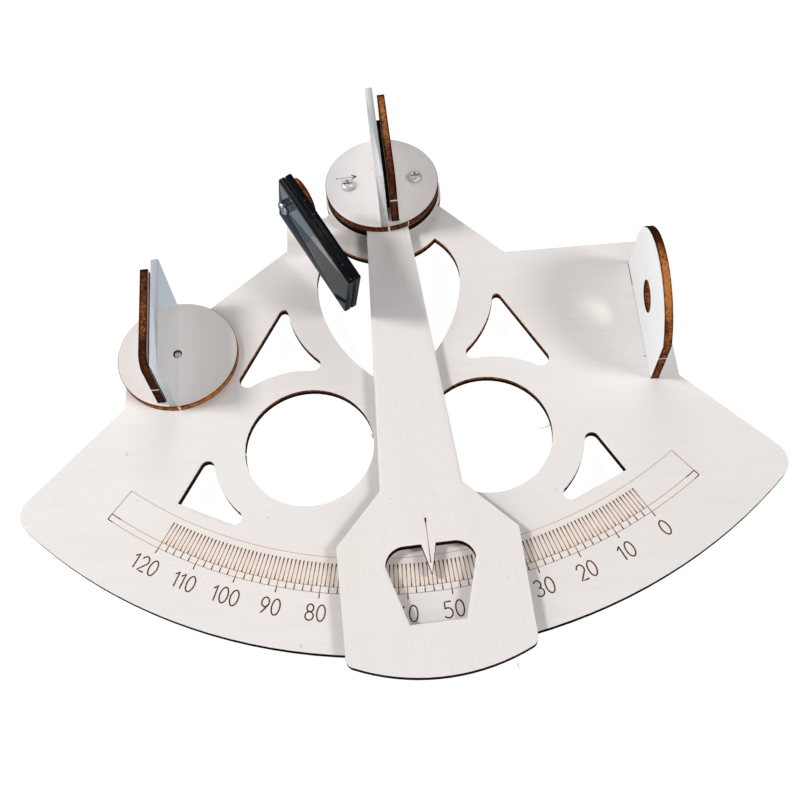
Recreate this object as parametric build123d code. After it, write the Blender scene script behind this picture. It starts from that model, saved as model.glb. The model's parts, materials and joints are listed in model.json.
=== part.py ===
"""Laser-cut plywood sextant: sector frame, swinging index arm, two mirrors on discs, peep sight, two shades.

The parts are drawn with the index arm's pivot on the Z axis and the frame's upper face at z = 0, the limb
towards -Y. At the end everything is moved so that the origin is the bottom centre of the whole sextant.
"""

from build123d import *
from math import cos, radians, sin, sqrt, tan
import os

# Stock (mm)
PLY = 2.6  # plywood sheet, sold as 3 mm
MIRROR_T = 2.5  # mirror tile
TAPE_T = 1.3  # foam tape behind each mirror
SHADE_T = 2.2  # tinted acrylic
CUT_GAP = 0.1  # play between faces that slide on each other

# Frame plate
SCALE_R = 150.0  # outer end of the ten-degree ticks, which everything else follows
LIMB_R = 1.108 * SCALE_R
HEAD_R = 20.4
SIDE_START = (19.2, -6.9)  # where each straight side leaves the head
SIDE_ANGLE = 46.7  # side edge below horizontal
LIMB_CORNER_R = 7.2
HUB_HOLE_R = 15.0
SIGHT_LUG = (90.5, -29.25)  # outer top corner of the right lug
SHADE_LUG = (-34.4, -8.5)  # outer top corner of the left upper lug
SHADE_LUG_LOW = -21.6
HORIZON_LUG = (-87.5, -65.3)  # outer top corner of the left lower lug
ROUND_WINDOW = (27.9, -98.1)
ROUND_WINDOW_R = 20.3
UPPER_APEX_R, LOWER_APEX_R = 1.5, 2.2  # triangular windows

# Index arm, drawn pointing along -Y and turned to its stored reading
ARM_REST = 3.0  # degrees from the middle of the scale, towards +X
ARM_GAP = 1.4  # arm's underside above the frame
DISC_R = 19.8
BLADE_TOP_W, BLADE_LOW_W = 14.4, 25.2
BLADE_TOP_Y, BLADE_LOW_Y = -18.0, -116.5
TAIL_W = 54.4
TAIL_TOP_Y = -132.8
TAIL_CORNER_Y = -168.0
TAIL_TIP_Y = -174.3
TAIL_CORNER_R = 3.0
READING_TOP_Y, READING_WIDE_Y, READING_LOW_Y = -135.0, -140.6, -158.7
READING_WIDE_X, READING_LOW_X, READING_FLAT_X = 13.3, 8.1, 7.8
POINTER_W, POINTER_TIP_Y = 4.3, -144.4

# Pivot stack and fasteners (M2.5)
SCREW_R = 1.25
SCREW_HOLE_R = 1.35
SCREW_HEAD_R, SCREW_HEAD_H = 2.4, 1.7
RECESS_W, RECESS_L, RECESS_DEPTH = 0.75, 2.9, 1.0
NUT_FLATS, NUT_T = 5.0, 2.0
NUT_BORE_R = 1.27
WASHER_R, WASHER_BORE_R, WASHER_T = 3.0, 1.35, 0.5
INDEX_SCREW_X = 11.85
INDEX_SCREW_L = 16.0
SPACER_R = 17.5
RETAINER_R = 18.0
HUB_PLAY = 0.07  # radial

# Mirrors and their supports
MIRROR_L, MIRROR_H = 39.2, 26.1
SUPPORT_L, SUPPORT_H = 35.4, 24.0
SUPPORT_CORNER_R = 4.5
SUPPORT_TAB_L = 12.0
INDEX_MIRROR_X = -2.0  # reflecting face, to the left of the arm's centre line
INDEX_TAPE_L, INDEX_TAPE_H = 23.0, 18.6
HORIZON_TAPE_L, HORIZON_TAPE_H = 34.6, 22.4

# Horizon disc
HORIZON = (-70.5, -61.8)
HORIZON_TURN = 2.4  # mirror's turn from the Y axis, towards +X at its near end
HORIZON_SCREW_L = 5.2

# Peep sight
SIGHT_X = 81.4  # inner face
SIGHT_FAR_Y, SIGHT_NEAR_Y = -37.8, -83.2  # foot
SIGHT_CROWN = (-63.6, 15.6)  # centre of the round top, in Y and Z
SIGHT_R = 23.0
SIGHT_KINK_Z = 22.6  # where the near edge runs into the round top
SIGHT_EYE = (-62.4, 16.0)
SIGHT_HOLE_R = 5.1
SIGHT_TABS = ((-38.6, -46.6), (-74.8, -82.4))

# Shades
SHADE_AXIS_ANGLE = 30.5  # the bolt's direction in plan
SHADE_BOLT_Z = 28.5
SHADE_BOLT_E = 6.2  # bolt's place along the shades' plane
SHADE_FACE_D = -39.6  # front face of the front shade, along the bolt
SHADE_TILT = 15.7  # degrees that a lowered shade hangs below level
SHADE_L, SHADE_W = 40.8, 24.8
SHADE_END = 3.9  # from the bolt to the near end
SHADE_HOLE_R = 1.33
SHADE_SCREW_L = 9.0
SHADE_GAP = 0.2
POST_R = 6.5
POST_HOLE_R = 1.27  # the bolt is driven into the wood
POST_NECK_W, POST_NECK_Z = 6.2, 8.0  # narrow foot, clear of the arm at the end of its swing


def slab(outline, bottom, thickness):
    """A flat sheet part with its underside at the height given."""
    return Pos(0, 0, bottom) * extrude(outline, amount=thickness)


def upright_plate(outline, x, thickness):
    """A sheet standing on edge: outline in Y and Z, filling x to x + thickness."""
    standing = Plane(origin=(x, 0, 0), x_dir=(0, 1, 0), z_dir=(1, 0, 0))
    return extrude(standing * outline, amount=thickness)


def hole(x, y, radius):
    return Pos(x, y) * Circle(radius)


def closed(*edges):
    return make_face(Curve() + list(edges))


def mirrored(sketch):
    """The sketch with its mirror image about the Y axis."""
    return sketch + mirror(sketch, about=Plane.YZ)


def rounded(sketch, radius, keep=None):
    """Round the sketch's corners, or only those that keep picks."""
    corners = sketch.vertices().filter_by(keep) if keep else sketch.vertices()
    return fillet(corners, radius)


# Placing frames ------------------------------------------------------------------------------------------

INDEX_FRAME = Rot(0, 0, ARM_REST)
HORIZON_FRAME = Pos(HORIZON[0], HORIZON[1], 0) * Rot(0, 0, HORIZON_TURN)

shade_along = Vector(cos(radians(SHADE_AXIS_ANGLE)), sin(radians(SHADE_AXIS_ANGLE)), 0)
shade_across = Vector(shade_along.Y, -shade_along.X, 0)
shade_bolt = shade_along * SHADE_FACE_D + shade_across * SHADE_BOLT_E + Vector(0, 0, SHADE_BOLT_Z)
# Local X runs across, local Y up and local Z against the bolt's direction, towards its head
SHADE_PLANE = Plane(origin=shade_bolt, x_dir=shade_across, z_dir=-shade_along)


# Fasteners -----------------------------------------------------------------------------------------------


def pan_screw(length):
    """Cross-recess pan head screw: head above z = 0, shank below."""
    head = extrude(Circle(SCREW_HEAD_R), amount=SCREW_HEAD_H)
    head = fillet(head.edges().sort_by(Axis.Z)[-1], SCREW_HEAD_H * 0.62)
    shank = Pos(0, 0, -length) * extrude(Circle(SCREW_R), amount=length)
    shank = chamfer(shank.edges().sort_by(Axis.Z)[0], 0.3)
    cross = Rectangle(RECESS_L, RECESS_W) + Rectangle(RECESS_W, RECESS_L)
    recess = Pos(0, 0, SCREW_HEAD_H - RECESS_DEPTH) * extrude(cross, amount=RECESS_DEPTH)
    return head + shank - recess


def hex_nut():
    """Nut with its upper face at z = 0."""
    body = Pos(0, 0, -NUT_T) * extrude(RegularPolygon(NUT_FLATS / 2, 6, major_radius=False), amount=NUT_T)
    dome_r = NUT_FLATS / 2 / cos(radians(30)) * 0.985
    body &= Pos(0, 0, -NUT_T) * extrude(Circle(dome_r), amount=NUT_T)
    return body - Pos(0, 0, -NUT_T) * extrude(Circle(NUT_BORE_R), amount=NUT_T)


def washer():
    """Washer with its upper face at z = 0."""
    return slab(Circle(WASHER_R) - Circle(WASHER_BORE_R), -WASHER_T, WASHER_T)


# Frame ---------------------------------------------------------------------------------------------------


def sector_corner():
    """Where a straight side meets the limb, before rounding."""
    ux, uy = cos(radians(SIDE_ANGLE)), -sin(radians(SIDE_ANGLE))
    along = SIDE_START[0] * ux + SIDE_START[1] * uy
    start_sq = SIDE_START[0] ** 2 + SIDE_START[1] ** 2
    reach = -along + sqrt(along**2 - start_sq + LIMB_R**2)
    return SIDE_START[0] + reach * ux, SIDE_START[1] + reach * uy


def side_y(x):
    """Height of the straight side at a distance x from the middle."""
    return SIDE_START[1] - (abs(x) - SIDE_START[0]) * tan(radians(SIDE_ANGLE))


def upper_window():
    """Heart-shaped window under the arm: shallow arc on top, swelling sides, pointed foot."""
    tip, widest, foot = (17.0, -21.1), (24.3, -36.8), (0, -79.6)
    top = ThreePointArc((-tip[0], tip[1]), (0, -28.8), tip)
    shoulder = ThreePointArc(tip, (22.3, -28.3), widest)
    belly = ThreePointArc(widest, (19.6, -57.3), foot)
    left = [mirror(edge, about=Plane.YZ) for edge in (shoulder, belly)]
    return closed(top, shoulder, belly, *left)


def upper_triangle():
    """Window between the belly of the upper window, the round window and the outer side."""
    apex = (34.7, -42.4)
    outer_side = Line(apex, (50.2, -71.2))
    outer_nose = ThreePointArc((50.2, -71.2), (49.5, -74.3), (46.3, -74.9))
    floor = ThreePointArc((46.3, -74.9), (37.5, -71.2), (26.4, -70.6))
    inner_nose = ThreePointArc((26.4, -70.6), (24.2, -69.5), (24.3, -66.7))
    inner_side = ThreePointArc((24.3, -66.7), (30.6, -58.4), apex)
    outline = closed(outer_side, outer_nose, floor, inner_nose, inner_side)
    return rounded(outline, UPPER_APEX_R, lambda v: v.Y > apex[1] - 1)


def lower_triangle():
    """Window between the round window, the scale and the outer side."""
    apex, outer = (57.9, -94.4), (68.8, -114.2)
    outer_side = Line(apex, outer)
    floor = Line(outer, (51.6, -122.6))
    nose = ThreePointArc((51.6, -122.6), (49.1, -121.3), (50.1, -118.3))
    inner_side = ThreePointArc((50.1, -118.3), (56.4, -108.0), apex)
    outline = closed(outer_side, floor, nose, inner_side)
    return rounded(outline, LOWER_APEX_R, lambda v: v.Y > apex[1] - 1)


def frame_outline():
    corner = sector_corner()
    sides = Polyline((-corner[0], corner[1]), (-SIDE_START[0], SIDE_START[1]), SIDE_START, corner)
    limb = ThreePointArc(corner, (0, -LIMB_R), (-corner[0], corner[1]))
    sector = rounded(closed(sides, limb), LIMB_CORNER_R, lambda v: v.Y < corner[1] + 1)
    sight_lug = make_face(
        Polyline(
            (39.8, SIGHT_LUG[1]),
            SIGHT_LUG,
            (SIGHT_LUG[0], side_y(SIGHT_LUG[0])),
            (50.0, -80.0),
            close=True,
        )
    )
    left_lugs = make_face(
        Polyline(
            (-10.0, SHADE_LUG[1]),
            SHADE_LUG,
            (SHADE_LUG[0], SHADE_LUG_LOW),
            HORIZON_LUG,
            (HORIZON_LUG[0], side_y(HORIZON_LUG[0])),
            (-50.0, -80.0),
            (-20.0, -30.0),
            close=True,
        )
    )
    return sector + Circle(HEAD_R) + sight_lug + left_lugs


def frame_plate():
    windows = upper_window() + mirrored(hole(*ROUND_WINDOW, ROUND_WINDOW_R))
    windows += mirrored(upper_triangle()) + mirrored(lower_triangle())
    plate = slab(frame_outline() - windows, -PLY, PLY)
    plate -= slab(Circle(HUB_HOLE_R) + hole(*HORIZON, SCREW_R + HUB_PLAY), -PLY, PLY)
    for far, near in SIGHT_TABS:
        slot = Pos(SIGHT_X + PLY / 2, (far + near) / 2) * Rectangle(PLY, far - near)
        plate -= slab(slot, -PLY, PLY)
    return plate - post_tab()


def peep_sight_plate():
    """Upright plate with a round eye hole; two tabs go through the frame."""
    crown_y, crown_z = SIGHT_CROWN
    shoulder = (crown_y + SIGHT_R, crown_z)
    kink = (crown_y - sqrt(SIGHT_R**2 - (SIGHT_KINK_Z - crown_z) ** 2), SIGHT_KINK_Z)
    foot = Line((SIGHT_NEAR_Y, 0), (SIGHT_FAR_Y, 0))
    far_side = Line((SIGHT_FAR_Y, 0), shoulder)
    crown = ThreePointArc(shoulder, (crown_y, crown_z + SIGHT_R), kink)
    near_side = Line(kink, (SIGHT_NEAR_Y, 0))
    outline = closed(foot, far_side, crown, near_side) - hole(*SIGHT_EYE, SIGHT_HOLE_R)
    for far, near in SIGHT_TABS:
        outline += Pos((far + near) / 2, -PLY / 2) * Rectangle(far - near, PLY)
    return upright_plate(outline, SIGHT_X, PLY)


# Index arm -----------------------------------------------------------------------------------------------


def screw_pair(make, height):
    """Two identical fasteners as separate solids, either side of the pivot."""
    return [INDEX_FRAME * Pos(x, 0, height) * make() for x in (-INDEX_SCREW_X, INDEX_SCREW_X)]


def pivot_layer(radius, bottom, thickness):
    """A round layer of the pivot stack, drilled for the two screws."""
    outline = Circle(radius) - mirrored(hole(INDEX_SCREW_X, 0, SCREW_HOLE_R))
    return INDEX_FRAME * slab(outline, bottom, thickness)


def reading_window():
    """Window over the scale, with a pointer hanging from its upper edge."""
    wide, flat = (READING_WIDE_X, READING_WIDE_Y), (READING_FLAT_X, READING_TOP_Y)
    centre_line = Line((0, POINTER_TIP_Y), (0, READING_LOW_Y))
    foot = Line((0, READING_LOW_Y), (READING_LOW_X, READING_LOW_Y))
    side = Line((READING_LOW_X, READING_LOW_Y), wide)
    shoulder = ThreePointArc(wide, (11.8, -137.0), flat)
    top = Line(flat, (POINTER_W / 2, READING_TOP_Y))
    pointer = Line((POINTER_W / 2, READING_TOP_Y), (0, POINTER_TIP_Y))
    return mirrored(closed(centre_line, foot, side, shoulder, top, pointer))


def index_arm():
    corners = (
        (BLADE_TOP_W / 2, BLADE_TOP_Y),
        (BLADE_LOW_W / 2, BLADE_LOW_Y),
        (TAIL_W / 2, TAIL_TOP_Y),
        (TAIL_W / 2, TAIL_CORNER_Y),
    )
    right = Polyline(*corners)
    left = Polyline(*[(-x, y) for x, y in corners])
    top = Line((-BLADE_TOP_W / 2, BLADE_TOP_Y), (BLADE_TOP_W / 2, BLADE_TOP_Y))
    tail = ThreePointArc(corners[-1], (0, TAIL_TIP_Y), (-TAIL_W / 2, TAIL_CORNER_Y))
    blade = rounded(closed(right, left, top, tail), TAIL_CORNER_R, lambda v: v.Y < TAIL_CORNER_Y + 1)
    outline = blade + Circle(DISC_R) - mirrored(hole(INDEX_SCREW_X, 0, SCREW_HOLE_R)) - reading_window()
    return INDEX_FRAME * slab(outline, ARM_GAP, PLY)


# Mirrors -------------------------------------------------------------------------------------------------


def standing_block(length, height, x, thickness, bottom):
    outline = Pos(0, bottom + height / 2) * Rectangle(length, height)
    return upright_plate(outline, x, thickness)


def support_tab(x, bottom, depth):
    return standing_block(SUPPORT_TAB_L, depth, x, PLY, bottom)


def mirror_support(x, floor, tab_depth):
    """Plywood back for a mirror, with its near upper corner rounded and a tab through its disc."""
    middle = floor + SUPPORT_H / 2
    outline = Pos(0, middle) * Rectangle(SUPPORT_L, SUPPORT_H)
    outline = rounded(outline, SUPPORT_CORNER_R, lambda v: v.Y > middle and v.X < 0)
    return upright_plate(outline, x, PLY) + support_tab(x, floor - tab_depth, tab_depth)


# Shades --------------------------------------------------------------------------------------------------


def shade(layer):
    """Tinted strip hanging from the bolt; layer 0 is next to the screw's head."""
    strip = Pos(SHADE_L / 2 - SHADE_END, 0) * Rectangle(SHADE_L, SHADE_W) - Circle(SHADE_HOLE_R)
    depth = layer * (SHADE_T + SHADE_GAP)
    return SHADE_PLANE * Pos(0, 0, -depth) * Rot(0, 0, -SHADE_TILT) * slab(strip, -SHADE_T, SHADE_T)


WASHER_DEPTH = 2 * SHADE_T + SHADE_GAP
POST_DEPTH = WASHER_DEPTH + WASHER_T


def post_tab():
    """The post's tab, which is also the slot it needs in the frame."""
    tab = Pos(0, -SHADE_BOLT_Z - PLY / 2) * Rectangle(POST_NECK_W, PLY)
    return SHADE_PLANE * Pos(0, 0, -POST_DEPTH) * slab(tab, -PLY, PLY)


def shade_post():
    """Upright strip with a round top for the shades' bolt."""
    shaft_l = SHADE_BOLT_Z - POST_NECK_Z
    shaft = Pos(0, -shaft_l / 2) * Rectangle(2 * POST_R, shaft_l)
    neck = Pos(0, -SHADE_BOLT_Z + POST_NECK_Z / 2) * Rectangle(POST_NECK_W, POST_NECK_Z)
    outline = shaft + neck + Circle(POST_R) - Circle(POST_HOLE_R)
    return SHADE_PLANE * Pos(0, 0, -POST_DEPTH) * slab(outline, -PLY, PLY) + post_tab()


# Assembly ------------------------------------------------------------------------------------------------

disc_bottom = ARM_GAP + PLY
disc_top = disc_bottom + PLY
hub_bottom = -PLY - CUT_GAP
retainer_bottom = hub_bottom - PLY
support_x = INDEX_MIRROR_X + MIRROR_T + TAPE_T
horizon_support_x = -MIRROR_T - TAPE_T - PLY

nodes = {
    "frame_plate": frame_plate(),
    "peep_sight_plate": peep_sight_plate(),
    "shade_post": shade_post(),
    "shade_front": shade(0),
    "shade_rear": shade(1),
    "shade_screw": SHADE_PLANE * pan_screw(SHADE_SCREW_L),
    "shade_washer": SHADE_PLANE * Pos(0, 0, -WASHER_DEPTH) * washer(),
    "index_arm": index_arm(),
    "index_disc": pivot_layer(DISC_R, disc_bottom, PLY)
    - INDEX_FRAME * support_tab(support_x, disc_bottom, PLY),
    "arm_spacer": pivot_layer(SPACER_R, 0, ARM_GAP),
    "pivot_hub": pivot_layer(HUB_HOLE_R - HUB_PLAY, hub_bottom, -hub_bottom),
    "pivot_retaining_disc": pivot_layer(RETAINER_R, retainer_bottom, PLY),
    "index_screws": screw_pair(lambda: pan_screw(INDEX_SCREW_L), disc_top),
    "index_washers": screw_pair(washer, retainer_bottom),
    "index_nuts": screw_pair(hex_nut, retainer_bottom - WASHER_T),
    "index_mirror": INDEX_FRAME
    * standing_block(MIRROR_L, MIRROR_H, INDEX_MIRROR_X, MIRROR_T, disc_top),
    "index_mirror_tape": INDEX_FRAME
    * standing_block(INDEX_TAPE_L, INDEX_TAPE_H, INDEX_MIRROR_X + MIRROR_T, TAPE_T, disc_top),
    "index_mirror_support": INDEX_FRAME * mirror_support(support_x, disc_top, PLY),
    "horizon_disc": HORIZON_FRAME
    * (
        slab(Circle(DISC_R) - Circle(SCREW_HOLE_R), 0, PLY)
        - support_tab(horizon_support_x, 0, PLY)
    ),
    "horizon_mirror": HORIZON_FRAME * standing_block(MIRROR_L, MIRROR_H, -MIRROR_T, MIRROR_T, PLY),
    "horizon_mirror_tape": HORIZON_FRAME
    * standing_block(HORIZON_TAPE_L, HORIZON_TAPE_H, -MIRROR_T - TAPE_T, TAPE_T, PLY),
    "horizon_mirror_support": HORIZON_FRAME * mirror_support(horizon_support_x, PLY, PLY - CUT_GAP),
    "horizon_pivot_screw": HORIZON_FRAME
    * Pos(0, 0, -PLY - WASHER_T)
    * Rot(180, 0, 0)
    * pan_screw(HORIZON_SCREW_L),
    "horizon_pivot_washer": HORIZON_FRAME * Pos(0, 0, -PLY) * washer(),
}

solids = {name: list(shape) if isinstance(shape, list) else shape.solids() for name, shape in nodes.items()}
box = Compound([solid for group in solids.values() for solid in group]).bounding_box()
to_origin = Pos(-(box.min.X + box.max.X) / 2, -(box.min.Y + box.max.Y) / 2, -box.min.Z)

os.makedirs("parts", exist_ok=True)
for name, group in solids.items():
    placed = [to_origin * solid for solid in group]
    export_step(placed[0] if len(placed) == 1 else Compound(placed), f"parts/{name}.step")

print("size", box.size)
print("pivot axis, frame top", to_origin.position)
print("horizon axis", (to_origin * Pos(HORIZON[0], HORIZON[1], 0)).position)
print("shade axis", (to_origin * Pos(*shade_bolt)).position, "towards", -shade_along)
print("eye hole", (to_origin * Pos(SIGHT_X + PLY / 2, *SIGHT_EYE)).position)
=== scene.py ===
"""Looks for the laser-cut plywood sextant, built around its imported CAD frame. Everything is in metres."""

import json
from math import cos, hypot, pi, radians, sin
from random import Random

import bmesh
import bpy
from mathutils import Matrix, Vector

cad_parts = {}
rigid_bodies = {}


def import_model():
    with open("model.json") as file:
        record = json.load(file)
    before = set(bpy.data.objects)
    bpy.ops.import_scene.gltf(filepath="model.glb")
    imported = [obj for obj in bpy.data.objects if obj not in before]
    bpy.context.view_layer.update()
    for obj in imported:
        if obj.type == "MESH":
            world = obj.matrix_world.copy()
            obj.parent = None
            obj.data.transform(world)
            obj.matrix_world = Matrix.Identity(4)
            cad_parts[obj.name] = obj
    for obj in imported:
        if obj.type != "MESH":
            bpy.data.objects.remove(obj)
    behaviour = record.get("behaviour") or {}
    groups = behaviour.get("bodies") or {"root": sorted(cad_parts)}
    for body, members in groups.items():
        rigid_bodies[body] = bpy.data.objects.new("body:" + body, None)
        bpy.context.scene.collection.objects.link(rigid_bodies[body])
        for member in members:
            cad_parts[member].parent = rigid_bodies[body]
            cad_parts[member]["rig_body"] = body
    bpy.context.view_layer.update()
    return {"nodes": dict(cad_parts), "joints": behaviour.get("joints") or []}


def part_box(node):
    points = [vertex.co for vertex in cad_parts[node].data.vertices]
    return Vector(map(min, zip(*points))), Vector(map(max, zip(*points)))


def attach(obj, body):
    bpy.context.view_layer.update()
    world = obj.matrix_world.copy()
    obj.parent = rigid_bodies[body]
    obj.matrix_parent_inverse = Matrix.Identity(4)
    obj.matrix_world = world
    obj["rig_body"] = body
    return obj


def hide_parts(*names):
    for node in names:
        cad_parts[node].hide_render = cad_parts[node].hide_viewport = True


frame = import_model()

MM = 0.001
UP = Vector((0, 0, 1))
nodes = frame["nodes"]
joints = {joint["name"]: joint for joint in frame["joints"]}
PIVOT = Vector(joints["index_arm_swing"]["pos_m"])  # on the frame plate's upper face
HORIZON = Vector(joints["horizon_disc_turn"]["pos_m"])
ARM_REST = radians(3)  # the stored arm's turn from the middle of the scale
HORIZON_TURN = radians(2.4)  # the horizon mirror's turn from facing +X
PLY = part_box("index_disc")[1].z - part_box("index_disc")[0].z  # thickness of the sheet

SCALE_R = 150 * MM  # outer end of the ticks at each ten
BOX_TOP = 0.914 * SCALE_R  # inner line of the engraved box
TICK_TOP = 0.92696 * SCALE_R  # inner end of every tick
ODD_END = 0.97492 * SCALE_R  # outer end of the odd ticks, where the box has its middle line
EVEN_END = 0.98837 * SCALE_R  # outer end of the even ticks and of the box

SIGHT_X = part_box("peep_sight_plate")[0].x
EYE_HOLE = Vector((SIGHT_X, 14.47 * MM, 25.4 * MM))
EYE_HOLE_ROOM = 7 * MM  # the hole's wall is within this distance of its middle
HEART_TIP = Vector((15.0 * MM, 53.6 * MM, PIVOT.z))
ROUND_WINDOW = Vector((27.9 * MM, PIVOT.y - 98.1 * MM, 0))  # the right one
ROUND_WINDOW_R = 20.3 * MM
LEFT_WINDOW = Vector((-ROUND_WINDOW.x, ROUND_WINDOW.y, 0))


def top_of(node):
    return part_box(node)[1].z


# Materials ------------------------------------------------------------------------------------------------


class Shader:
    """A node material around one Principled shader. place is the object's own coordinates, in metres."""

    def __init__(self, name, **inputs):
        self.material = bpy.data.materials.new(name)
        self.material.use_nodes = True
        self.tree = self.material.node_tree
        self.bsdf = self.tree.nodes["Principled BSDF"]
        for key, value in inputs.items():
            self.bsdf.inputs[key.replace("_", " ")].default_value = value
        self.place = self.add("ShaderNodeTexCoord").outputs["Object"]

    def add(self, kind, inputs=None, **settings):
        node = self.tree.nodes.new(kind)
        for key, value in settings.items():
            setattr(node, key, value)
        for key, value in (inputs or {}).items():
            self.feed(node.inputs[key], value)
        return node

    def feed(self, socket, value):
        if isinstance(value, bpy.types.NodeSocket):
            self.tree.links.new(value, socket)
        else:
            socket.default_value = value

    def set(self, key, value):
        self.feed(self.bsdf.inputs[key], value)

    def math(self, operation, a, b=0.0, clamp=False):
        return self.add("ShaderNodeMath", {0: a, 1: b}, operation=operation, use_clamp=clamp).outputs[0]

    def vector_math(self, operation, a, b):
        return self.add("ShaderNodeVectorMath", {0: a, 1: b}, operation=operation).outputs[0]

    def length(self, vector):
        return self.add("ShaderNodeVectorMath", {0: vector}, operation="LENGTH").outputs["Value"]

    def stretched(self, turn, scale):
        """Coordinates turned about the axes, then scaled."""
        turned = self.add("ShaderNodeMapping", {"Vector": self.place, "Rotation": turn}).outputs[0]
        return self.add("ShaderNodeMapping", {"Vector": turned, "Scale": scale}).outputs[0]

    def noise(self, vector, scale, detail=2.0, roughness=0.5, distortion=0.0):
        inputs = {"Scale": scale, "Detail": detail, "Roughness": roughness, "Distortion": distortion}
        return self.add("ShaderNodeTexNoise", {"Vector": vector, **inputs}).outputs["Fac"]

    def ramp(self, factor, *stops):
        node = self.add("ShaderNodeValToRGB", {"Fac": factor})
        elements = node.color_ramp.elements
        elements.remove(elements[1])
        elements[0].position = stops[0][0]
        for index, (position, colour) in enumerate(stops):
            element = elements.new(position) if index else elements[0]
            element.color = (*colour, 1) if isinstance(colour, tuple) else (colour, colour, colour, 1)
        return node.outputs["Color"]

    def mix(self, factor, a, b, blend="MIX"):
        node = self.add("ShaderNodeMix", data_type="RGBA", blend_type=blend)
        colours = [socket for socket in node.inputs if socket.type == "RGBA"]
        self.feed(node.inputs["Factor"], factor)
        for socket, value in zip(colours, (a, b)):
            self.feed(socket, (*value, 1) if isinstance(value, tuple) else value)
        return next(o for o in node.outputs if o.type == "RGBA")

    def attribute(self, name):
        return self.add("ShaderNodeAttribute", attribute_name=name).outputs["Fac"]

    def bump(self, height, distance, strength=1.0):
        inputs = {"Height": height, "Distance": distance, "Strength": strength}
        self.set("Normal", self.add("ShaderNodeBump", inputs).outputs[0])


# Angles from the middle of the scale, in radians, where the tan starts to fade and where it is gone
TANNED_TO, TANNED_END = 0.515, 0.535


def tanned_band(look, depth, smoke):
    """How much the beam tanned the wood between the scale's ticks, up to depth, on the frame's upper side."""
    gap = look.vector_math("SUBTRACT", look.place, PIVOT)
    radius = look.length(gap)
    share = look.math("DIVIDE", radius, SCALE_R)
    band = look.ramp(share, (0.92, 0.0), (0.93, 1.0), (0.95, 0.5), (0.97, 1.0), (0.98, 0.0))
    across = look.add("ShaderNodeSeparateXYZ", {0: gap}).outputs
    angle = look.math("ABSOLUTE", look.math("ARCTAN2", across["X"], look.math("MULTIPLY", across["Y"], -1.0)))
    band = look.math("MULTIPLY", band, look.ramp(angle, (TANNED_TO, depth), (TANNED_END, 0.0)))
    band = look.math("MULTIPLY", band, look.ramp(smoke, (0.35, 0.6), (0.65, 1.0)))
    return look.math("MULTIPLY", band, look.math("GREATER_THAN", across["Z"], -MM))


def basswood(name, turn, tone=(1.0, 1.0, 1.0), scorches=(), rim_line=(0.11, 0.085, 0.085), singed=0.0):
    """Pale plywood face. turn brings the grain onto the X axis. scorches are brown smudges, each a centre, a
    size and a depth. singed is how much the wood between the scale's ticks is tanned."""
    look = Shader(name, Roughness=0.62, Specular_IOR_Level=0.2)
    fibres = look.noise(look.stretched(turn, (110, 3000, 3000)), 1.0, 4.0, 0.6)
    streaks = look.noise(look.stretched(turn, (14, 520, 520)), 1.0, 3.0, 0.55, 0.3)
    bands = look.noise(look.stretched(turn, (5, 60, 60)), 1.0, 2.0, 0.5, 0.6)
    clouds = look.noise(look.place, 38.0, 3.0, 0.55)
    light, warm, cool = (0.795, 0.758, 0.737), (0.778, 0.730, 0.690), (0.765, 0.737, 0.722)
    light, warm, cool = (tuple(c * t for c, t in zip(colour, tone)) for colour in (light, warm, cool))
    colour = look.mix(look.ramp(bands, (0.35, 0.0), (0.72, 1.0)), light, warm)
    colour = look.mix(look.ramp(clouds, (0.42, 0.0), (0.72, 0.8)), colour, cool)
    colour = look.mix(1.0, colour, look.ramp(streaks, (0.3, 0.979), (0.6, 1.0)), "MULTIPLY")
    colour = look.mix(1.0, colour, look.ramp(fibres, (0.28, 0.962), (0.58, 1.0)), "MULTIPLY")
    specks = look.ramp(look.noise(look.place, 460.0, 1.0), (0.775, 0.0), (0.81, 0.4))
    colour = look.mix(specks, colour, (0.42, 0.33, 0.25))
    smoke = look.noise(look.place, 120.0, 2.0)
    rim = look.attribute("rim")
    haze = look.math("MULTIPLY", look.math("POWER", rim, 1.6), look.ramp(smoke, (0.40, 0.05), (0.75, 0.7)))
    colour = look.mix(haze, colour, (0.60, 0.41, 0.25))
    colour = look.mix(look.ramp(rim, (0.74, 0.0), (0.88, 0.62)), colour, rim_line)
    for centre, size, depth in scorches:
        gap = look.vector_math("SUBTRACT", look.place, centre)
        reach = look.length(look.vector_math("MULTIPLY", gap, [1 / c for c in size]))
        reach = look.math("ADD", reach, look.math("MULTIPLY", smoke, 0.5))
        colour = look.mix(look.ramp(reach, (0.3, depth), (1.2, 0.0)), colour, (0.58, 0.33, 0.14))
    if singed:
        colour = look.mix(tanned_band(look, singed, smoke), colour, (0.80, 0.54, 0.34))
    look.set("Base Color", colour)
    look.bump(look.math("ADD", fibres, look.math("MULTIPLY", streaks, 0.6)), 0.00003, 0.4)
    return look.material


# Where the brown shows between the char, from the sheet's back (0) to its front (1)
CORE = (0.0, 0.0), (0.07, 0.05), (0.2, 0.85), (0.5, 1.0), (0.8, 0.8), (0.95, 0.04), (1.0, 0.0)
SHEET_CORE = (0.0, 0.25), (0.12, 0.5), (0.3, 1.0), (0.7, 1.0), (0.88, 0.6), (1.0, 0.3)
TOP_LAYER = (0.0, 0.0), (0.5, 0.04), (0.66, 0.8), (0.93, 1.0), (1.0, 0.3)


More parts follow.
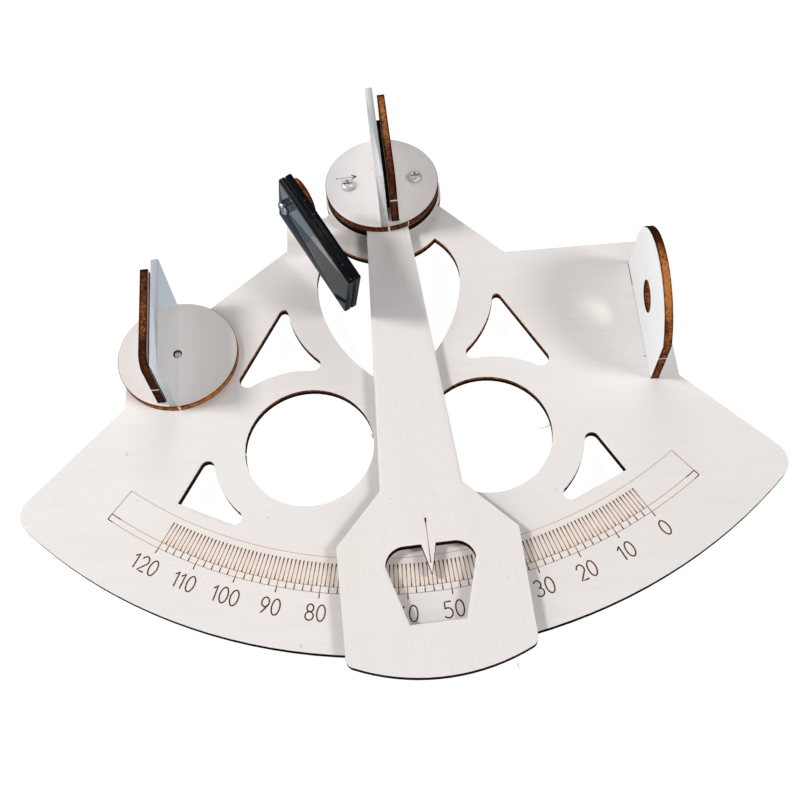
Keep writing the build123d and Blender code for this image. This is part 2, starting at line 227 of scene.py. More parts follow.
def burnt_edge(name, glow, along=(), low=0.0, high=1.0, profile=CORE):
    """Laser-cut edge: charred, with brown where profile is high. glow is how much of the brown shows, and
    along how that changes over Y, from low (0) to high (1)."""
    look = Shader(name, Roughness=0.8, Specular_IOR_Level=0.02)
    grit = look.noise(look.place, 3400.0, 3.0, 0.65)
    streak = look.noise(look.stretched((0, 0, 0), (1000, 1000, 420)), 1.0, 3.0, 0.6)
    patch = look.noise(look.place, 60.0, 2.0, 0.5)
    middle = look.ramp(look.attribute("depth"), *profile)
    heat = look.ramp(streak, (0.34, 0.4), (0.64, 1.0))
    spots = look.ramp(grit, (0.36, 0.28), (0.62, 1.0))
    patches = look.ramp(patch, (0.36, 0.55), (0.62, 1.0))
    for share in (spots, patches, middle, glow):
        heat = look.math("MULTIPLY", heat, share)
    if along:
        y = look.add("ShaderNodeSeparateXYZ", {0: look.place}).outputs["Y"]
        way = look.math("DIVIDE", look.math("SUBTRACT", y, low), high - low, clamp=True)
        heat = look.math("MULTIPLY", heat, look.ramp(way, *along))
    heat = look.math("MULTIPLY", heat, 1.0, clamp=True)
    char, brown, orange = (0.0025, 0.0007, 0.0005), (0.085, 0.022, 0.008), (0.50, 0.175, 0.045)
    look.set("Base Color", look.ramp(heat, (0.0, char), (0.35, brown), (1.0, orange)))
    look.bump(look.math("ADD", grit, streak), 0.00008, 0.7)
    return look.material


def raw_wood():
    """Bare wood that the beam didn't reach."""
    look = Shader("raw_wood", Roughness=0.8)
    grain = look.noise(look.stretched((0, 0, 0), (3000, 3000, 700)), 1.0, 3.0)
    look.set("Base Color", look.ramp(grain, (0.3, (0.66, 0.53, 0.38)), (0.65, (0.88, 0.82, 0.72))))
    look.bump(grain, 0.0001, 0.8)
    return look.material


def singed_fibre():
    look = Shader("singed_fibre", Roughness=0.8)
    grain = look.noise(look.place, 2500.0, 2.0)
    look.set("Base Color", look.ramp(grain, (0.35, (0.035, 0.022, 0.016)), (0.65, (0.13, 0.09, 0.065))))
    return look.material


def engraved():
    """Laser line: attribute burn runs from pale tan to near black."""
    look = Shader("laser_line", Roughness=0.75, Specular_IOR_Level=0.15)
    wander = look.math("MULTIPLY", look.math("SUBTRACT", look.noise(look.place, 1500.0, 2.0), 0.5), 0.35)
    burn = look.math("ADD", look.attribute("burn"), wander, clamp=True)
    tan, brown = (0.62, 0.43, 0.27), (0.37, 0.18, 0.085)
    dark, char = (0.155, 0.054, 0.02), (0.03, 0.008, 0.003)
    look.set("Base Color", look.ramp(burn, (0.0, tan), (0.3, brown), (0.6, dark), (1.0, char)))
    return look.material


def mirror_face():
    look = Shader("mirror_face", Metallic=1.0, Specular_Tint=(0.95, 0.97, 0.98, 1))
    haze = look.noise(look.place, 90.0, 3.0)
    look.set("Base Color", look.ramp(haze, (0.35, (0.94, 0.955, 0.96)), (0.7, (0.965, 0.975, 0.98))))
    look.set("Roughness", look.ramp(look.noise(look.place, 400.0, 3.0), (0.4, 0.015), (0.8, 0.04)))
    return look.material


def mirror_edge(name, tint):
    """The tile's ground glass edge and painted back."""
    look = Shader(name, Roughness=0.3, Specular_IOR_Level=0.4)
    cloud = look.noise(look.stretched((0, 0, 0), (60, 60, 300)), 1.0, 3.0)
    look.set("Base Color", look.ramp(cloud, (0.35, tuple(0.9 * c for c in tint)), (0.68, tint)))
    look.bump(look.noise(look.place, 1800.0, 2.0), 0.00002, 0.3)
    return look.material


def foam():
    look = Shader("foam_tape", Roughness=0.95, Specular_IOR_Level=0.1)
    cells = look.noise(look.place, 3200.0, 3.0, 0.7)
    look.set("Base Color", look.ramp(cells, (0.3, 0.004), (0.7, 0.02)))
    look.bump(cells, 0.0001, 0.9)
    return look.material


def acrylic():
    look = Shader("tinted_acrylic", IOR=1.49, Specular_IOR_Level=0.06)
    tint = look.noise(look.place, 25.0, 2.0)
    look.set("Base Color", look.ramp(tint, (0.3, (0.0010, 0.0095, 0.0165)), (0.7, (0.0014, 0.0120, 0.0205))))
    look.set("Roughness", look.ramp(look.noise(look.place, 220.0, 4.0, 0.65), (0.45, 0.02), (0.75, 0.06)))
    return look.material


def acrylic_edge():
    """Cut edge of the acrylic: fine polished ripples and a little dust."""
    look = Shader("acrylic_edge", Roughness=0.3, Specular_IOR_Level=0.06)
    ripple = look.noise(look.place, 1400.0, 2.0)
    colour = look.ramp(ripple, (0.3, (0.003, 0.004, 0.005)), (0.7, (0.009, 0.010, 0.012)))
    dust = look.ramp(look.noise(look.place, 1100.0, 1.0), (0.73, 0.0), (0.78, 0.8))
    look.set("Base Color", look.mix(dust, colour, (0.22, 0.22, 0.24)))
    look.bump(ripple, 0.000005, 0.1)
    return look.material


def steel(name, tone, dull):
    """Brushed metal. dull is its least roughness."""
    look = Shader(name, Metallic=1.0)
    brush = look.noise(look.place, 2400.0, 3.0, 0.6)
    look.set("Base Color", look.ramp(brush, (0.3, tuple(0.8 * c for c in tone)), (0.7, tone)))
    look.set("Roughness", look.ramp(brush, (0.3, dull), (0.7, dull + 0.1)))
    return look.material


GRAIN_ALONG_X = (0, 0, 0)
GRAIN_ALONG_Y = (0, 0, radians(-90))
GRAIN_ALONG_ARM = (0, 0, radians(90) - ARM_REST)

SIGHT_SCORCH = (EYE_HOLE + Vector((0, 1.5, 6.2)) * MM, (0.004, 0.0011, 0.0036), 0.45)
FRAME_SCORCH = (HEART_TIP + Vector((3.5, -1.5, 0)) * MM, (0.0032, 0.0018, 0.004), 0.6)
WOOD_FRAME = basswood("basswood_frame", GRAIN_ALONG_X, scorches=[FRAME_SCORCH], singed=0.27)
WOOD_ARM = basswood("basswood_arm", GRAIN_ALONG_ARM, (0.998, 0.995, 1.0), rim_line=(0.36, 0.20, 0.10))
WOOD_DISC = basswood("basswood_disc", GRAIN_ALONG_ARM, (0.99, 0.99, 1.0))
WOOD_UPRIGHT = basswood("basswood_upright", GRAIN_ALONG_Y)
# The sight plate is the same plywood as the other uprights; its tone paints its face lighter and bluer, painted
# light for the light that falls on it.
WOOD_SIGHT_PAINTED_LIT = basswood(
    "basswood_sight_painted_lit", GRAIN_ALONG_Y, (1.11, 1.175, 1.24), scorches=[SIGHT_SCORCH], rim_line=(0.30, 0.17, 0.09)
)
EDGE_ARM = burnt_edge("burnt_edge_arm", 0.4, profile=TOP_LAYER)
EDGE_INDEX_DISC = burnt_edge("burnt_edge_index_disc", 1.05)
EDGE_HORIZON_DISC = burnt_edge("burnt_edge_horizon_disc", 2.6, profile=SHEET_CORE)
EDGE_EYE_HOLE = EDGE_INDEX_DISC  # the hole's wall is charred like the index disc's edge


def node_edge(node, glow, along, profile):
    """The burnt edge of one node, whose brown changes from its near end (0) to its far end (1)."""
    near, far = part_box(node)
    return burnt_edge("burnt_edge_" + node, glow, along, near.y, far.y, profile)


EDGE_FRAME = node_edge("frame_plate", 1.7, ((0.0, 0.0), (0.2, 0.15), (0.4, 0.55), (0.55, 1.0)), TOP_LAYER)
RAW, FIBRE, LINE = raw_wood(), singed_fibre(), engraved()
MIRROR_FACE = mirror_face()
# The bevel round a tile's reflecting face is painted near white: a painted highlight along the glass edge.
MIRROR_BEVEL_PAINTED_HIGHLIGHT = mirror_edge("mirror_bevel_painted_highlight", (0.86, 0.90, 0.97))
# Both tiles' edges are the same glass: the index tile's is painted lighter and the horizon tile's darker and
# bluer, painted light and shade for how each is lit.
INDEX_TILE_EDGE_PAINTED_LIT = mirror_edge("mirror_edge_index_painted_lit", (0.73, 0.725, 0.735))
HORIZON_TILE_EDGE_PAINTED_SHADE = mirror_edge("mirror_edge_horizon_painted_shade", (0.63, 0.66, 0.71))
FOAM, ACRYLIC, ACRYLIC_EDGE = foam(), acrylic(), acrylic_edge()
STEEL = steel("screw_steel", (0.74, 0.74, 0.78), 0.5)
# The shade bolt is the same steel as the screws, painted darker: painted shade that dims its head.
BOLT_STEEL_PAINTED_SHADE = steel("bolt_steel_painted_shade", (0.50, 0.51, 0.55), 0.26)


# Pieces made from the CAD solids --------------------------------------------------------------------------

RIM_BEVEL = 0.16 * MM
SMOKE_W = 1.3 * MM  # how far the smoke border reaches in from a cut
TILE_BEVEL = 0.12 * MM
SHADE_BEVEL = 0.22 * MM


def main_normal(bm):
    """Direction of the sheet's two faces: the one with the most area."""
    areas = {}
    for face in bm.faces:
        direction = face.normal if max(face.normal, key=abs) > 0 else -face.normal
        key = tuple(round(part, 2) for part in direction)
        areas[key] = areas.get(key, 0) + face.calc_area()
    return Vector(max(areas, key=areas.get)).normalized()


def cad_bmesh(node):
    """A copy of the node's mesh, with doubled points merged."""
    bm = bmesh.new()
    bm.from_mesh(nodes[node].data)
    bmesh.ops.remove_doubles(bm, verts=bm.verts, dist=2e-6)
    bm.normal_update()
    return bm


def add_piece(name, bm, materials, body, smooth=30):
    """A piece that rides on body. Edges sharper than smooth degrees stay sharp, and 0 leaves all faces flat."""
    mesh = bpy.data.meshes.new(name)
    bm.to_mesh(mesh)
    bm.free()
    for material in materials:
        mesh.materials.append(material)
    for polygon in mesh.polygons:
        polygon.use_smooth = smooth > 0
    if smooth:
        mesh.set_sharp_from_angle(angle=radians(smooth))
    piece = bpy.data.objects.new(name, mesh)
    bpy.context.scene.collection.objects.link(piece)
    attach(piece, body)
    return piece


def add_mark(name, bm, material, body):
    """A flat-faced piece of plywood, such as an engraved line or a chip."""
    bmesh.ops.recalc_face_normals(bm, faces=bm.faces)
    add_piece(name, bm, [material], body, smooth=0)


def bridge(bm, rings):
    """Joins rings of four points into a closed tube."""
    for a, b in zip(rings, rings[1:]):
        for k in range(4):
            bm.faces.new((a[k], a[(k + 1) % 4], b[(k + 1) % 4], b[k]))
    bm.faces.new(rings[0][::-1])
    bm.faces.new(rings[-1])


def add_stand_in(node, bm, materials):
    """A piece that stands for the CAD node and rides where it does."""
    piece = add_piece(node + "_piece", bm, materials, nodes[node]["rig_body"])
    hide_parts(node)


def sheet(node, face_material, edge_material, smoke=SMOKE_W):
    """The CAD node's shape as a detailed piece: softened rims, a smoke border on its faces, and burnt edges.
    Attribute rim is 1 at the cuts and 0 inside the border. depth runs from the sheet's back to its front."""
    bm = cad_bmesh(node)
    normal = main_normal(bm)

    def is_skin(face):
        return abs(face.normal.dot(normal)) > 0.9

    rims = [edge for edge in bm.edges if sorted(map(is_skin, edge.link_faces)) == [False, True]]
    bmesh.ops.bevel(bm, geom=rims, offset=RIM_BEVEL, segments=1, affect="EDGES", clamp_overlap=True)
    bm.normal_update()
    rim_layer = bm.verts.layers.float.new("rim")
    depth_layer = bm.verts.layers.float.new("depth")
    for vert in bm.verts:
        vert[rim_layer] = 1.0
    if smoke:
        skin = [f for f in bm.faces if is_skin(f)]
        outer = {v for f in skin for v in f.verts}
        bmesh.ops.inset_region(bm, faces=skin, thickness=smoke, use_even_offset=True, use_boundary=True)
        for vert in bm.verts:
            if vert not in outer:
                vert[rim_layer] = 0.0
        inner = {v for f in skin if f.is_valid for v in f.verts}
        for vert in inner:
            vert[rim_layer] = 0.0
    heights = [v.co.dot(normal) for v in bm.verts]
    low, high = min(heights), max(heights)
    for vert in bm.verts:
        vert[depth_layer] = (vert.co.dot(normal) - low) / (high - low)
    bm.normal_update()
    for face in bm.faces:
        in_eye_hole = (face.calc_center_median() - EYE_HOLE).length < EYE_HOLE_ROOM
        face.material_index = 0 if is_skin(face) else 2 if in_eye_hole else 1
    add_stand_in(node, bm, [face_material, edge_material, EDGE_EYE_HOLE])


sheet("frame_plate", WOOD_FRAME, EDGE_FRAME)
sheet("index_arm", WOOD_ARM, EDGE_ARM)
sheet("index_disc", WOOD_DISC, EDGE_INDEX_DISC)
sheet("horizon_disc", WOOD_DISC, EDGE_HORIZON_DISC)
UPRIGHTS = {  # face, glow of the edge, how it changes from near to far, and from back to front
    "peep_sight_plate": (
        WOOD_SIGHT_PAINTED_LIT,
        2.5,
        ((0.0, 0.6), (0.08, 0.7), (0.1, 0.95), (0.4, 1.0), (0.52, 0.6), (0.62, 0.2), (1.0, 0.05)),
        SHEET_CORE,
    ),
    "index_mirror_support": (
        WOOD_UPRIGHT,
        2.3,
        ((0.0, 0.4), (0.3, 0.33), (0.5, 0.6), (0.75, 1.0), (0.96, 0.85), (0.99, 0.03)),
        CORE,
    ),
    "horizon_mirror_support": (
        WOOD_UPRIGHT,
        1.35,
        ((0.0, 0.6), (0.2, 0.5), (0.35, 0.9), (0.9, 0.8), (0.96, 0.5), (0.99, 0.03)),
        SHEET_CORE,
    ),
    "shade_post": (WOOD_UPRIGHT, 2.2, ((0.0, 0.5), (0.5, 0.9), (1.0, 1.0)), CORE),
}
for node, (wood, glow, along, profile) in UPRIGHTS.items():
    sheet(node, wood, node_edge(node, glow, along, profile))
for hidden in ("arm_spacer", "pivot_hub", "pivot_retaining_disc"):
    sheet(hidden, WOOD_DISC, EDGE_ARM, smoke=0)


def tile(node, reflecting, edge):
    """Mirror tile: bright face on the side that reflecting points to, a painted highlight on the bevel round
    it, glass edge and back elsewhere.
    """
    bm = cad_bmesh(node)
    bmesh.ops.bevel(bm, geom=list(bm.edges), offset=TILE_BEVEL, segments=2, affect="EDGES")
    bm.normal_update()
    for face in bm.faces:
        facing = face.normal.dot(reflecting)
        face.material_index = 1 if facing > 0.98 else 2 if facing > 0.2 else 0
    add_stand_in(node, bm, [edge, MIRROR_FACE, MIRROR_BEVEL_PAINTED_HIGHLIGHT])


def turned_x(angle):
    """The X axis, turned about Z."""
    return Matrix.Rotation(angle, 3, "Z") @ Vector((1, 0, 0))


tile("index_mirror", -turned_x(ARM_REST), INDEX_TILE_EDGE_PAINTED_LIT)
tile("horizon_mirror", turned_x(HORIZON_TURN), HORIZON_TILE_EDGE_PAINTED_SHADE)


def shade(node):
    """Tinted acrylic plate with polished faces and duller cut edges."""
    bm = cad_bmesh(node)
    normal = main_normal(bm)
    rims = [edge for edge in bm.edges if len(edge.link_faces) == 2 and edge.calc_face_angle() > radians(60)]
    bmesh.ops.bevel(bm, geom=rims, offset=SHADE_BEVEL, segments=2, affect="EDGES", clamp_overlap=True)
    bm.normal_update()
    for face in bm.faces:
        face.material_index = 0 if abs(face.normal.dot(normal)) > 0.9 else 1
    add_stand_in(node, bm, [ACRYLIC, ACRYLIC_EDGE])


shade("shade_front")
shade("shade_rear")

KEPT = {  # nodes that keep their CAD shape and get a material
    "index_mirror_tape": FOAM,
    "horizon_mirror_tape": FOAM,
    "shade_screw": BOLT_STEEL_PAINTED_SHADE,
    "shade_washer": STEEL,
    "index_screws": STEEL,
    "index_washers": STEEL,
    "index_nuts": STEEL,
    "horizon_pivot_screw": STEEL,
    "horizon_pivot_washer": STEEL,
}
for node, material in KEPT.items():
    for index in range(len(nodes[node].data.materials)):
        nodes[node].material_slots[index].link = "OBJECT"
        nodes[node].material_slots[index].material = material


# Engraving ------------------------------------------------------------------------------------------------

LINE_UP, LINE_DOWN = 0.02 * MM, 0.06 * MM  # how far a line stands over its face and goes into it


class Engraving:
    """Thin closed strips let into a face, gathered into one piece. Points are in the face's own plane."""

    def __init__(self, origin, turn=0.0):
        self.bm = bmesh.new()
        self.burn = self.bm.verts.layers.float.new("burn")
        self.frame = Matrix.Translation(origin) @ Matrix.Rotation(turn, 4, "Z")

    def line(self, points, burns, width):
        """A strip along the points. burns and width are one value, or one for each point."""
        count = len(points)
        burns = burns if isinstance(burns, (list, tuple)) else [burns] * count
        widths = width if isinstance(width, (list, tuple)) else [width] * count
        rings = []
        for i, (x, y) in enumerate(points):
            before, after = points[max(i - 1, 0)], points[min(i + 1, count - 1)]
            if points[0] == points[-1] and i in (0, count - 1):
                before, after = points[-2], points[1]
            dx, dy = after[0] - before[0], after[1] - before[1]
            length = hypot(dx, dy)
            half = widths[i] / 2
            nx, ny = -dy / length * half, dx / length * half
            ring = []
            for side, height in ((1, LINE_UP), (-1, LINE_UP), (-1, -LINE_DOWN), (1, -LINE_DOWN)):
                vert = self.bm.verts.new(self.frame @ Vector((x + nx * side, y + ny * side, height)))
                vert[self.burn] = burns[i]
                ring.append(vert)
            rings.append(ring)
        bridge(self.bm, rings)

    def piece(self, name, body):
        add_mark(name, self.bm, LINE, body)


def arc(cx, cy, rx, ry, start, end, steps=14):
    """Points on an ellipse's arc, angles in degrees."""
    angles = [radians(start + (end - start) * i / steps) for i in range(steps + 1)]
    return [(cx + rx * cos(a), cy + ry * sin(a)) for a in angles]


# Single-stroke digits in a box one unit wide and one unit high
DIGITS = {
    "0": [arc(0.5, 0.5, 0.5, 0.5, 90, 450, 28)],
    "1": [[(0.12, 0.76), (0.34, 0.86), (0.55, 1.0), (0.55, 0.66), (0.55, 0.33), (0.55, 0.0)]],
    "2": [arc(0.5, 0.7, 0.46, 0.3, 170, -32) + [(0.55, 0.34), (0.04, 0.0), (0.5, 0.0), (1.0, 0.0)]],
    "3": [arc(0.45, 0.75, 0.42, 0.25, 150, -85) + arc(0.45, 0.26, 0.5, 0.26, 80, -150)],
    "4": [[(0.78, 0.0), (0.78, 0.5), (0.78, 1.0), (0.4, 0.65), (0.0, 0.3), (0.5, 0.3), (1.0, 0.3)]],
    "5": [[(0.92, 1.0), (0.5, 1.0), (0.14, 1.0), (0.1, 0.8), (0.08, 0.56)]
          + arc(0.4, 0.31, 0.55, 0.31, 110, -145)],
    "6": [[(0.8, 1.0), (0.45, 0.75), (0.14, 0.47)] + arc(0.5, 0.3, 0.46, 0.3, 160, 520, 24)],
    "7": [[(0.0, 1.0), (0.5, 1.0), (1.0, 1.0), (0.66, 0.5), (0.34, 0.0)]],
    "8": [arc(0.5, 0.76, 0.4, 0.24, 270, 630, 22), arc(0.5, 0.26, 0.5, 0.26, 90, 450, 24)],
    "9": [[(0.2, 0.0), (0.55, 0.25), (0.86, 0.53)] + arc(0.5, 0.7, 0.46, 0.3, -20, 340, 24)],
}

BOX_HALF = 37.5  # degrees from the middle to each end of the engraved box
MAX_READING = 120
LABEL_R, DIGIT_H, DIGIT_W, DIGIT_PITCH = 1.029 * SCALE_R, 4.85 * MM, 2.4 * MM, 3.3 * MM
NARROW = 0.62  # a 1 takes this share of the pitch
LABEL_SHIFT = 0.3 * MM  # to the left, for each digit after the first
TICK_W, THIN_W, DIGIT_LINE_W = 0.33 * MM, 0.22 * MM, 0.45 * MM


def polar(radius, degrees_from_middle):
    """Point on the frame, angle counted from -Y towards +X."""
    angle = radians(degrees_from_middle - 90)
    return radius * cos(angle), radius * sin(angle)


def reading_angle(reading):
    return (MAX_READING / 2 - reading) / 2


def ring_line(engraving, radius, start, end, burn, width):
    count = max(2, int(abs(end - start) / 0.75))
    points = [polar(radius, start + (end - start) * i / count) for i in range(count + 1)]
    engraving.line(points, burn, width)


scale = Engraving(PIVOT)
for radius in (BOX_TOP, ODD_END, EVEN_END):
    ring_line(scale, radius, -BOX_HALF, BOX_HALF, 0.08 if radius == BOX_TOP else 0.16, THIN_W)
for side in (-1, 1):
    end = side * BOX_HALF
    inner_end = [polar(radius, end) for radius in (BOX_TOP, (BOX_TOP + ODD_END) / 2, ODD_END)]
    scale.line(inner_end, [0.5, 0.2, 0.4], THIN_W)
    scale.line([polar(ODD_END, end), polar(EVEN_END, end)], [0.6, 0.8], TICK_W)
    ring_line(scale, ODD_END, end, end - side * 1.4, 0.6, TICK_W * 0.9)
    ring_line(scale, EVEN_END, end, end - side * 0.7, 0.7, TICK_W * 0.9)
# A tick is darkest and widest where the beam starts and stops
tick_stops = (0, 0.06, 0.2, 0.5, 0.82, 0.95, 1)
tick_burns = [0.95, 0.9, 0.5, 0.27, 0.42, 0.85, 0.95]
tick_widths = [TICK_W * share for share in (1.15, 1.15, 0.9, 0.75, 0.85, 1.1, 1.1)]
for reading in range(MAX_READING + 1):
    end_r = SCALE_R if reading % 10 == 0 else EVEN_END if reading % 2 == 0 else ODD_END
    angle = reading_angle(reading)
    scale.line([polar(TICK_TOP + (end_r - TICK_TOP) * t, angle) for t in tick_stops], tick_burns, tick_widths)

for reading in range(0, MAX_READING + 1, 10):
    label = str(reading)
    angle = radians(reading_angle(reading) - 90)
    out = Vector((cos(angle), sin(angle)))
    right = Vector((-sin(angle), cos(angle)))
    pitches = [DIGIT_PITCH * (NARROW if digit == "1" else 1) for digit in label]
    start = -sum(pitches) / 2 - (len(label) - 1) * LABEL_SHIFT
    for place, digit in enumerate(label):
        shift = start + sum(pitches[:place]) + pitches[place] / 2
        corner = out * (LABEL_R + DIGIT_H / 2) + right * (shift - DIGIT_W / 2)
        for stroke in DIGITS[digit]:
            points = [tuple(corner + right * (x * DIGIT_W) - out * (y * DIGIT_H)) for x, y in stroke]
            burns = [0.76] * len(points)
            burns[0] = burns[-1] = 0.95
            scale.line(points, burns, DIGIT_LINE_W)
scale.piece("scale_engraving", "frame")

arm_top = Vector((PIVOT.x, PIVOT.y, top_of("index_arm")))
arm_line = Engraving(arm_top, ARM_REST)
arm_line.line(
    [(0, y * MM) for y in (-126.8, -127.7, -129, -134, -139.6, -141)],
    [1.0, 0.95, 0.35, 0.15, 0.5, 0.95],
    [width * MM for width in (0.62, 0.55, 0.26, 0.22, 0.3, 0.36)],
)
arm_line.piece("pointer_line", "arm_assembly")

disc_top = Vector((PIVOT.x, PIVOT.y, top_of("index_disc")))
arrow = Engraving(disc_top, ARM_REST)
ARROW_Y = 4.0 * MM
arrow.line(
    [(x * MM, ARROW_Y) for x in (-15.9, -15.6, -15.2, -12, -8.6)],
    [0.5, 0.45, 0.12, 0.12, 0.3],
    [width * MM for width in (0.45, 0.45, 0.34, 0.34, 0.36)],
)
for side in (1, -1):
    barb = [(x * MM, ARROW_Y + side * y * MM) for x, y in ((-10.3, 0.95), (-9.5, 0.5), (-8.6, 0))]
    arrow.line(barb, [0.6, 0.9, 1.0], 0.42 * MM)
arrow.piece("disc_arrow", "arm_assembly")


# Small cutting marks ---------------------------------------------------------------------------------------

rng = Random(11)


def chip(bm, centre, along, out, up, length, height, reach):
    """A rough little block of bare wood left where a piece was held in its sheet."""
    steps = 5
    inside = -0.05 * MM
    half = height / 2
    rings = []
    for i in range(steps + 1):
        x = (i / steps - 0.5) * length
        tip = reach * sin(pi * (i + 0.6) / (steps + 1.2))
        ring = []
        for y, z in ((inside, -half), (tip, -half), (tip, half), (inside, half)):
            jitter = (rng.random() - 0.5) * 0.25
            point = centre + along * x + out * (y * (1 + jitter)) + up * (z * (1 - abs(jitter) * 0.4))
            ring.append(bm.verts.new(point))
        rings.append(ring)
    bridge(bm, rings)


def chips(name, body, marks):
    bm = bmesh.new()
    for mark in marks:
        chip(bm, *mark)
    add_mark(name, bm, RAW, body)


CHIP_H = PLY * 0.96


def rim_mark(centre, radius, angle, z, length=0.7 * MM, reach=0.16 * MM):
    """A chip on a round rim. angle is counted from -Y towards +X."""
    out = Vector((sin(angle), -cos(angle), 0))
    along = Vector((cos(angle), sin(angle), 0))
    place = Vector((centre.x, centre.y, z)) + out * radius
    return place, along, out, UP, length, CHIP_H, reach


def front_mark(x, y, z):
    """A chip on an upright's near edge."""
    return Vector((x, y, z)), UP, Vector((0, -1, 0)), Vector((1, 0, 0)), 0.6 * MM, CHIP_H, 0.12 * MM


def window_mark(angle, length, reach):
    """A chip in the left round window, pointing to its middle. angle is counted as in rim_mark."""
    mark = list(rim_mark(LEFT_WINDOW, ROUND_WINDOW_R, angle, PIVOT.z - PLY / 2, length, reach))
    mark[2] = -mark[2]
    return mark


SUNK = 0.02 * MM  # how far a chip's middle is let into the rim it stands on
disc_near, disc_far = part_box("horizon_disc")
disc_rim = (disc_far.x - disc_near.x) / 2 - SUNK
support_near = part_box("horizon_mirror_support")[0]
chips("horizon_disc_chip", "horizon_assembly", [
    rim_mark(HORIZON, disc_rim, radians(3.5), (disc_far.z + disc_near.z) / 2),
    front_mark(support_near.x + PLY * 1.05, support_near.y + 0.05 * MM, 20.3 * MM),
])
index_mid_z = top_of("index_disc") - PLY / 2
support_near, support_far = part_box("index_mirror_support")
chips("index_disc_chip", "arm_assembly", [
    rim_mark(PIVOT, disc_rim, radians(4.5), index_mid_z),
    rim_mark(PIVOT, disc_rim, radians(24.9), index_mid_z, 0.35 * MM),
    front_mark(support_far.x - PLY * 0.5, support_near.y + 0.05 * MM, 27 * MM),
])
tail_r = PIVOT.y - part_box("index_arm")[0].y
arm_mid_z = top_of("index_arm") - PLY / 2
tail_mark = rim_mark(PIVOT, tail_r - SUNK, ARM_REST, arm_mid_z, 0.5 * MM, 0.12 * MM)
chips("index_arm_chip", "arm_assembly", [tail_mark])
chips("frame_chips", "frame", [
    window_mark(radians(-88), 0.6 * MM, 0.3 * MM),
    window_mark(radians(98), 0.5 * MM, 0.5 * MM),
    front_mark(SIGHT_X + PLY / 2, -7.75 * MM, 24.1 * MM),
])


def whisker(bm, start, end, width):
    """A loose wood fibre, thick at its root and bent on the way."""
    side = (end - start).cross(UP).normalized() * width
    rings = []
    for t, thick in ((0.0, 1.0), (0.4, 0.75), (0.75, 0.5), (1.0, 0.2)):
        middle = start.lerp(end, t) + side * (3 * t * (1 - t))
        corners = (side + UP * width, -side + UP * width, -side - UP * width, side - UP * width)
        rings.append([bm.verts.new(middle + corner * thick / 2) for corner in corners])
    bridge(bm, rings)


def whiskers(name, body, fibres):
    bm = bmesh.new()
    for fibre in fibres:
        whisker(bm, *fibre)
    add_mark(name, bm, FIBRE, body)


root = Vector((ROUND_WINDOW.x + ROUND_WINDOW_R - 0.1 * MM, ROUND_WINDOW.y + 1.2 * MM, PIVOT.z - 0.5 * MM))
whiskers("frame_whiskers", "frame", [
    (root, root + Vector((-4.2, -0.9, -0.3)) * MM, 0.16 * MM),
    (root + Vector((0, 0.5, -0.4)) * MM, root + Vector((-1.7, 1.0, -0.6)) * MM, 0.14 * MM),
])

root = rim_mark(PIVOT, tail_r - 0.1 * MM, radians(9.7), arm_mid_z)[0]
whiskers("index_arm_whisker", "arm_assembly", [(root, root + Vector((0.5, -1.3, -0.4)) * MM, 0.16 * MM)])

# The cut of the sight plate's far slot shows beside the plate, and so does a short nick at its foot
slot_far, slot_near = PIVOT.y - 38.6 * MM, PIVOT.y - 46.6 * MM
slot_line = Engraving(Vector((SIGHT_X, 0, PIVOT.z)))
slot_line.line([(-0.12 * MM, slot_far + 0.3 * MM), (-0.12 * MM, slot_near)], [1.0, 0.9], 0.22 * MM)
slot_line.line([(-0.9 * MM, 2.2 * MM), (-0.12 * MM, 2.1 * MM)], [0.3, 0.6], 0.3 * MM)
slot_line.piece("sight_slot_line", "frame")


# Camera, light and floor -----------------------------------------------------------------------------------

# The photograph's viewpoint, and the directions of its right, its bottom and its middle
EYE = PIVOT + Vector((0.05998, -1.68083, 2.03250)) * SCALE_R
RIGHT = Vector((0.9968, -0.0565, -0.0561))
DOWN = Vector((-0.0765, -0.8739, -0.4801))
AHEAD = Vector((-0.0219, 0.4829, -0.8754))

camera = bpy.data.objects.new("camera", bpy.data.cameras.new("camera"))
bpy.context.scene.collection.objects.link(camera)
camera.data.sensor_width, camera.data.lens = 36.0, 49.095
camera.data.clip_start, camera.data.clip_end = 0.01, 20
camera.matrix_world = Matrix.Translation(EYE) @ Matrix((RIGHT, -DOWN, -AHEAD)).transposed().to_4x4()
bpy.context.scene.camera = camera


def area_light(name, place, size, power):
    """A rectangular light that looks at the object's middle."""
    light = bpy.data.lights.new(name, "AREA")
    light.shape = "RECTANGLE"
    light.size, light.size_y = size
    light.energy = power
    lamp = bpy.data.objects.new(name, light)
    bpy.context.scene.collection.objects.link(lamp)
    lamp.location = place
    lamp.rotation_euler = (-Vector(place)).to_track_quat("-Z", "Y").to_euler()


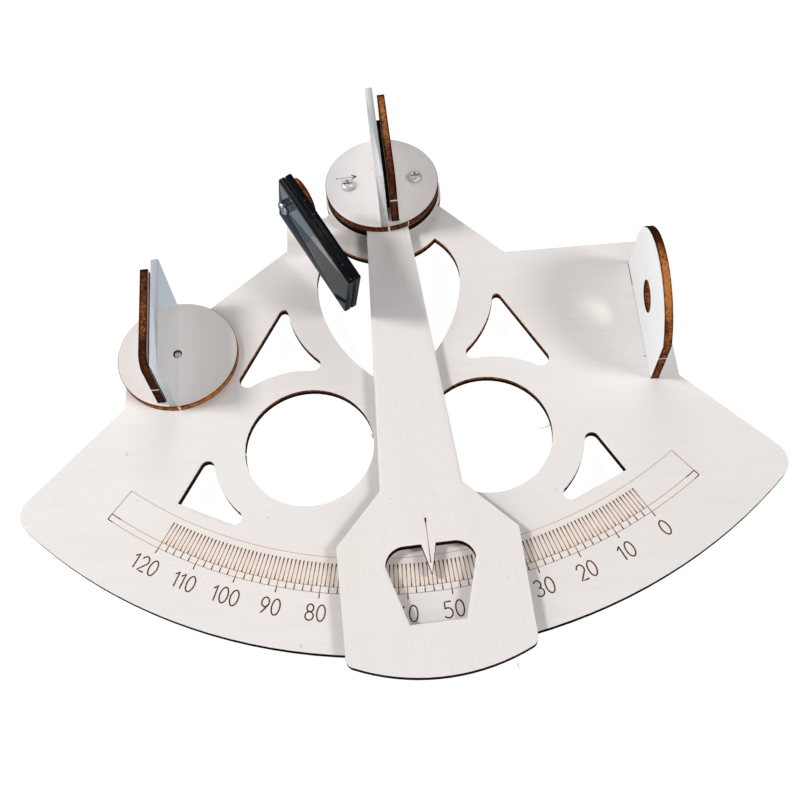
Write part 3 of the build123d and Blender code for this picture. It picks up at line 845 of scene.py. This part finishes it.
# The first two cast the shadows, and the others fill them
area_light("left", (-0.86, 0.03, 1.03), (0.24, 0.24), 9.85)
area_light("right", (0.93, -0.38, 0.99), (0.34, 0.34), 8.4)
area_light("behind", (0.05, 1.0, 0.95), (0.5, 0.35), 2.6)
area_light("left_low", (-1.3, 0.0, 0.5), (0.9, 0.9), 5.5)
area_light("front_low", (0.1, -1.3, 0.5), (0.9, 0.9), 4.5)

world = bpy.data.worlds.new("studio")
bpy.context.scene.world = world
world.use_nodes = True
sky_nodes, links = world.node_tree.nodes, world.node_tree.links
dim = sky_nodes["Background"]
dim.inputs["Color"].default_value = (0.95, 0.97, 1.0, 1)
dim.inputs["Strength"].default_value = 0.11
# A low view sees a pale backdrop behind the floor, which gives no light of its own
pale, either = sky_nodes.new("ShaderNodeBackground"), sky_nodes.new("ShaderNodeMixShader")
links.new(sky_nodes.new("ShaderNodeLightPath").outputs["Is Camera Ray"], either.inputs[0])
links.new(dim.outputs[0], either.inputs[1])
links.new(pale.outputs[0], either.inputs[2])
links.new(either.outputs[0], sky_nodes["World Output"].inputs["Surface"])

FLOOR_HALF = 4.0
FLOOR_DROP = 0.2 * MM  # keeps the floor clear of the faces that stand on it
corners = [(x * FLOOR_HALF, y * FLOOR_HALF, 0) for x, y in ((-1, -1), (1, -1), (1, 1), (-1, 1))]
floor_mesh = bpy.data.meshes.new("floor")
floor_mesh.from_pydata(corners, [], [(0, 1, 2, 3)])
floor = bpy.data.objects.new("floor", floor_mesh)
floor.location.z = -FLOOR_DROP
bpy.context.scene.collection.objects.link(floor)
paper = Shader("floor_paper", Roughness=0.9, Specular_IOR_Level=0.1)
paper.set("Base Color", (0.14, 0.14, 0.14, 1))
# White to look at, but the gloss and the mirrors find a dimmer, bluish room
gloss = paper.add("ShaderNodeLightPath").outputs["Is Glossy Ray"]
paper.set("Emission Color", paper.mix(gloss, (1, 1, 1), (0.34, 0.40, 0.44)))
paper.set("Emission Strength", 0.92)
floor_mesh.materials.append(paper.material)

bpy.context.scene.view_settings.view_transform = "Standard"
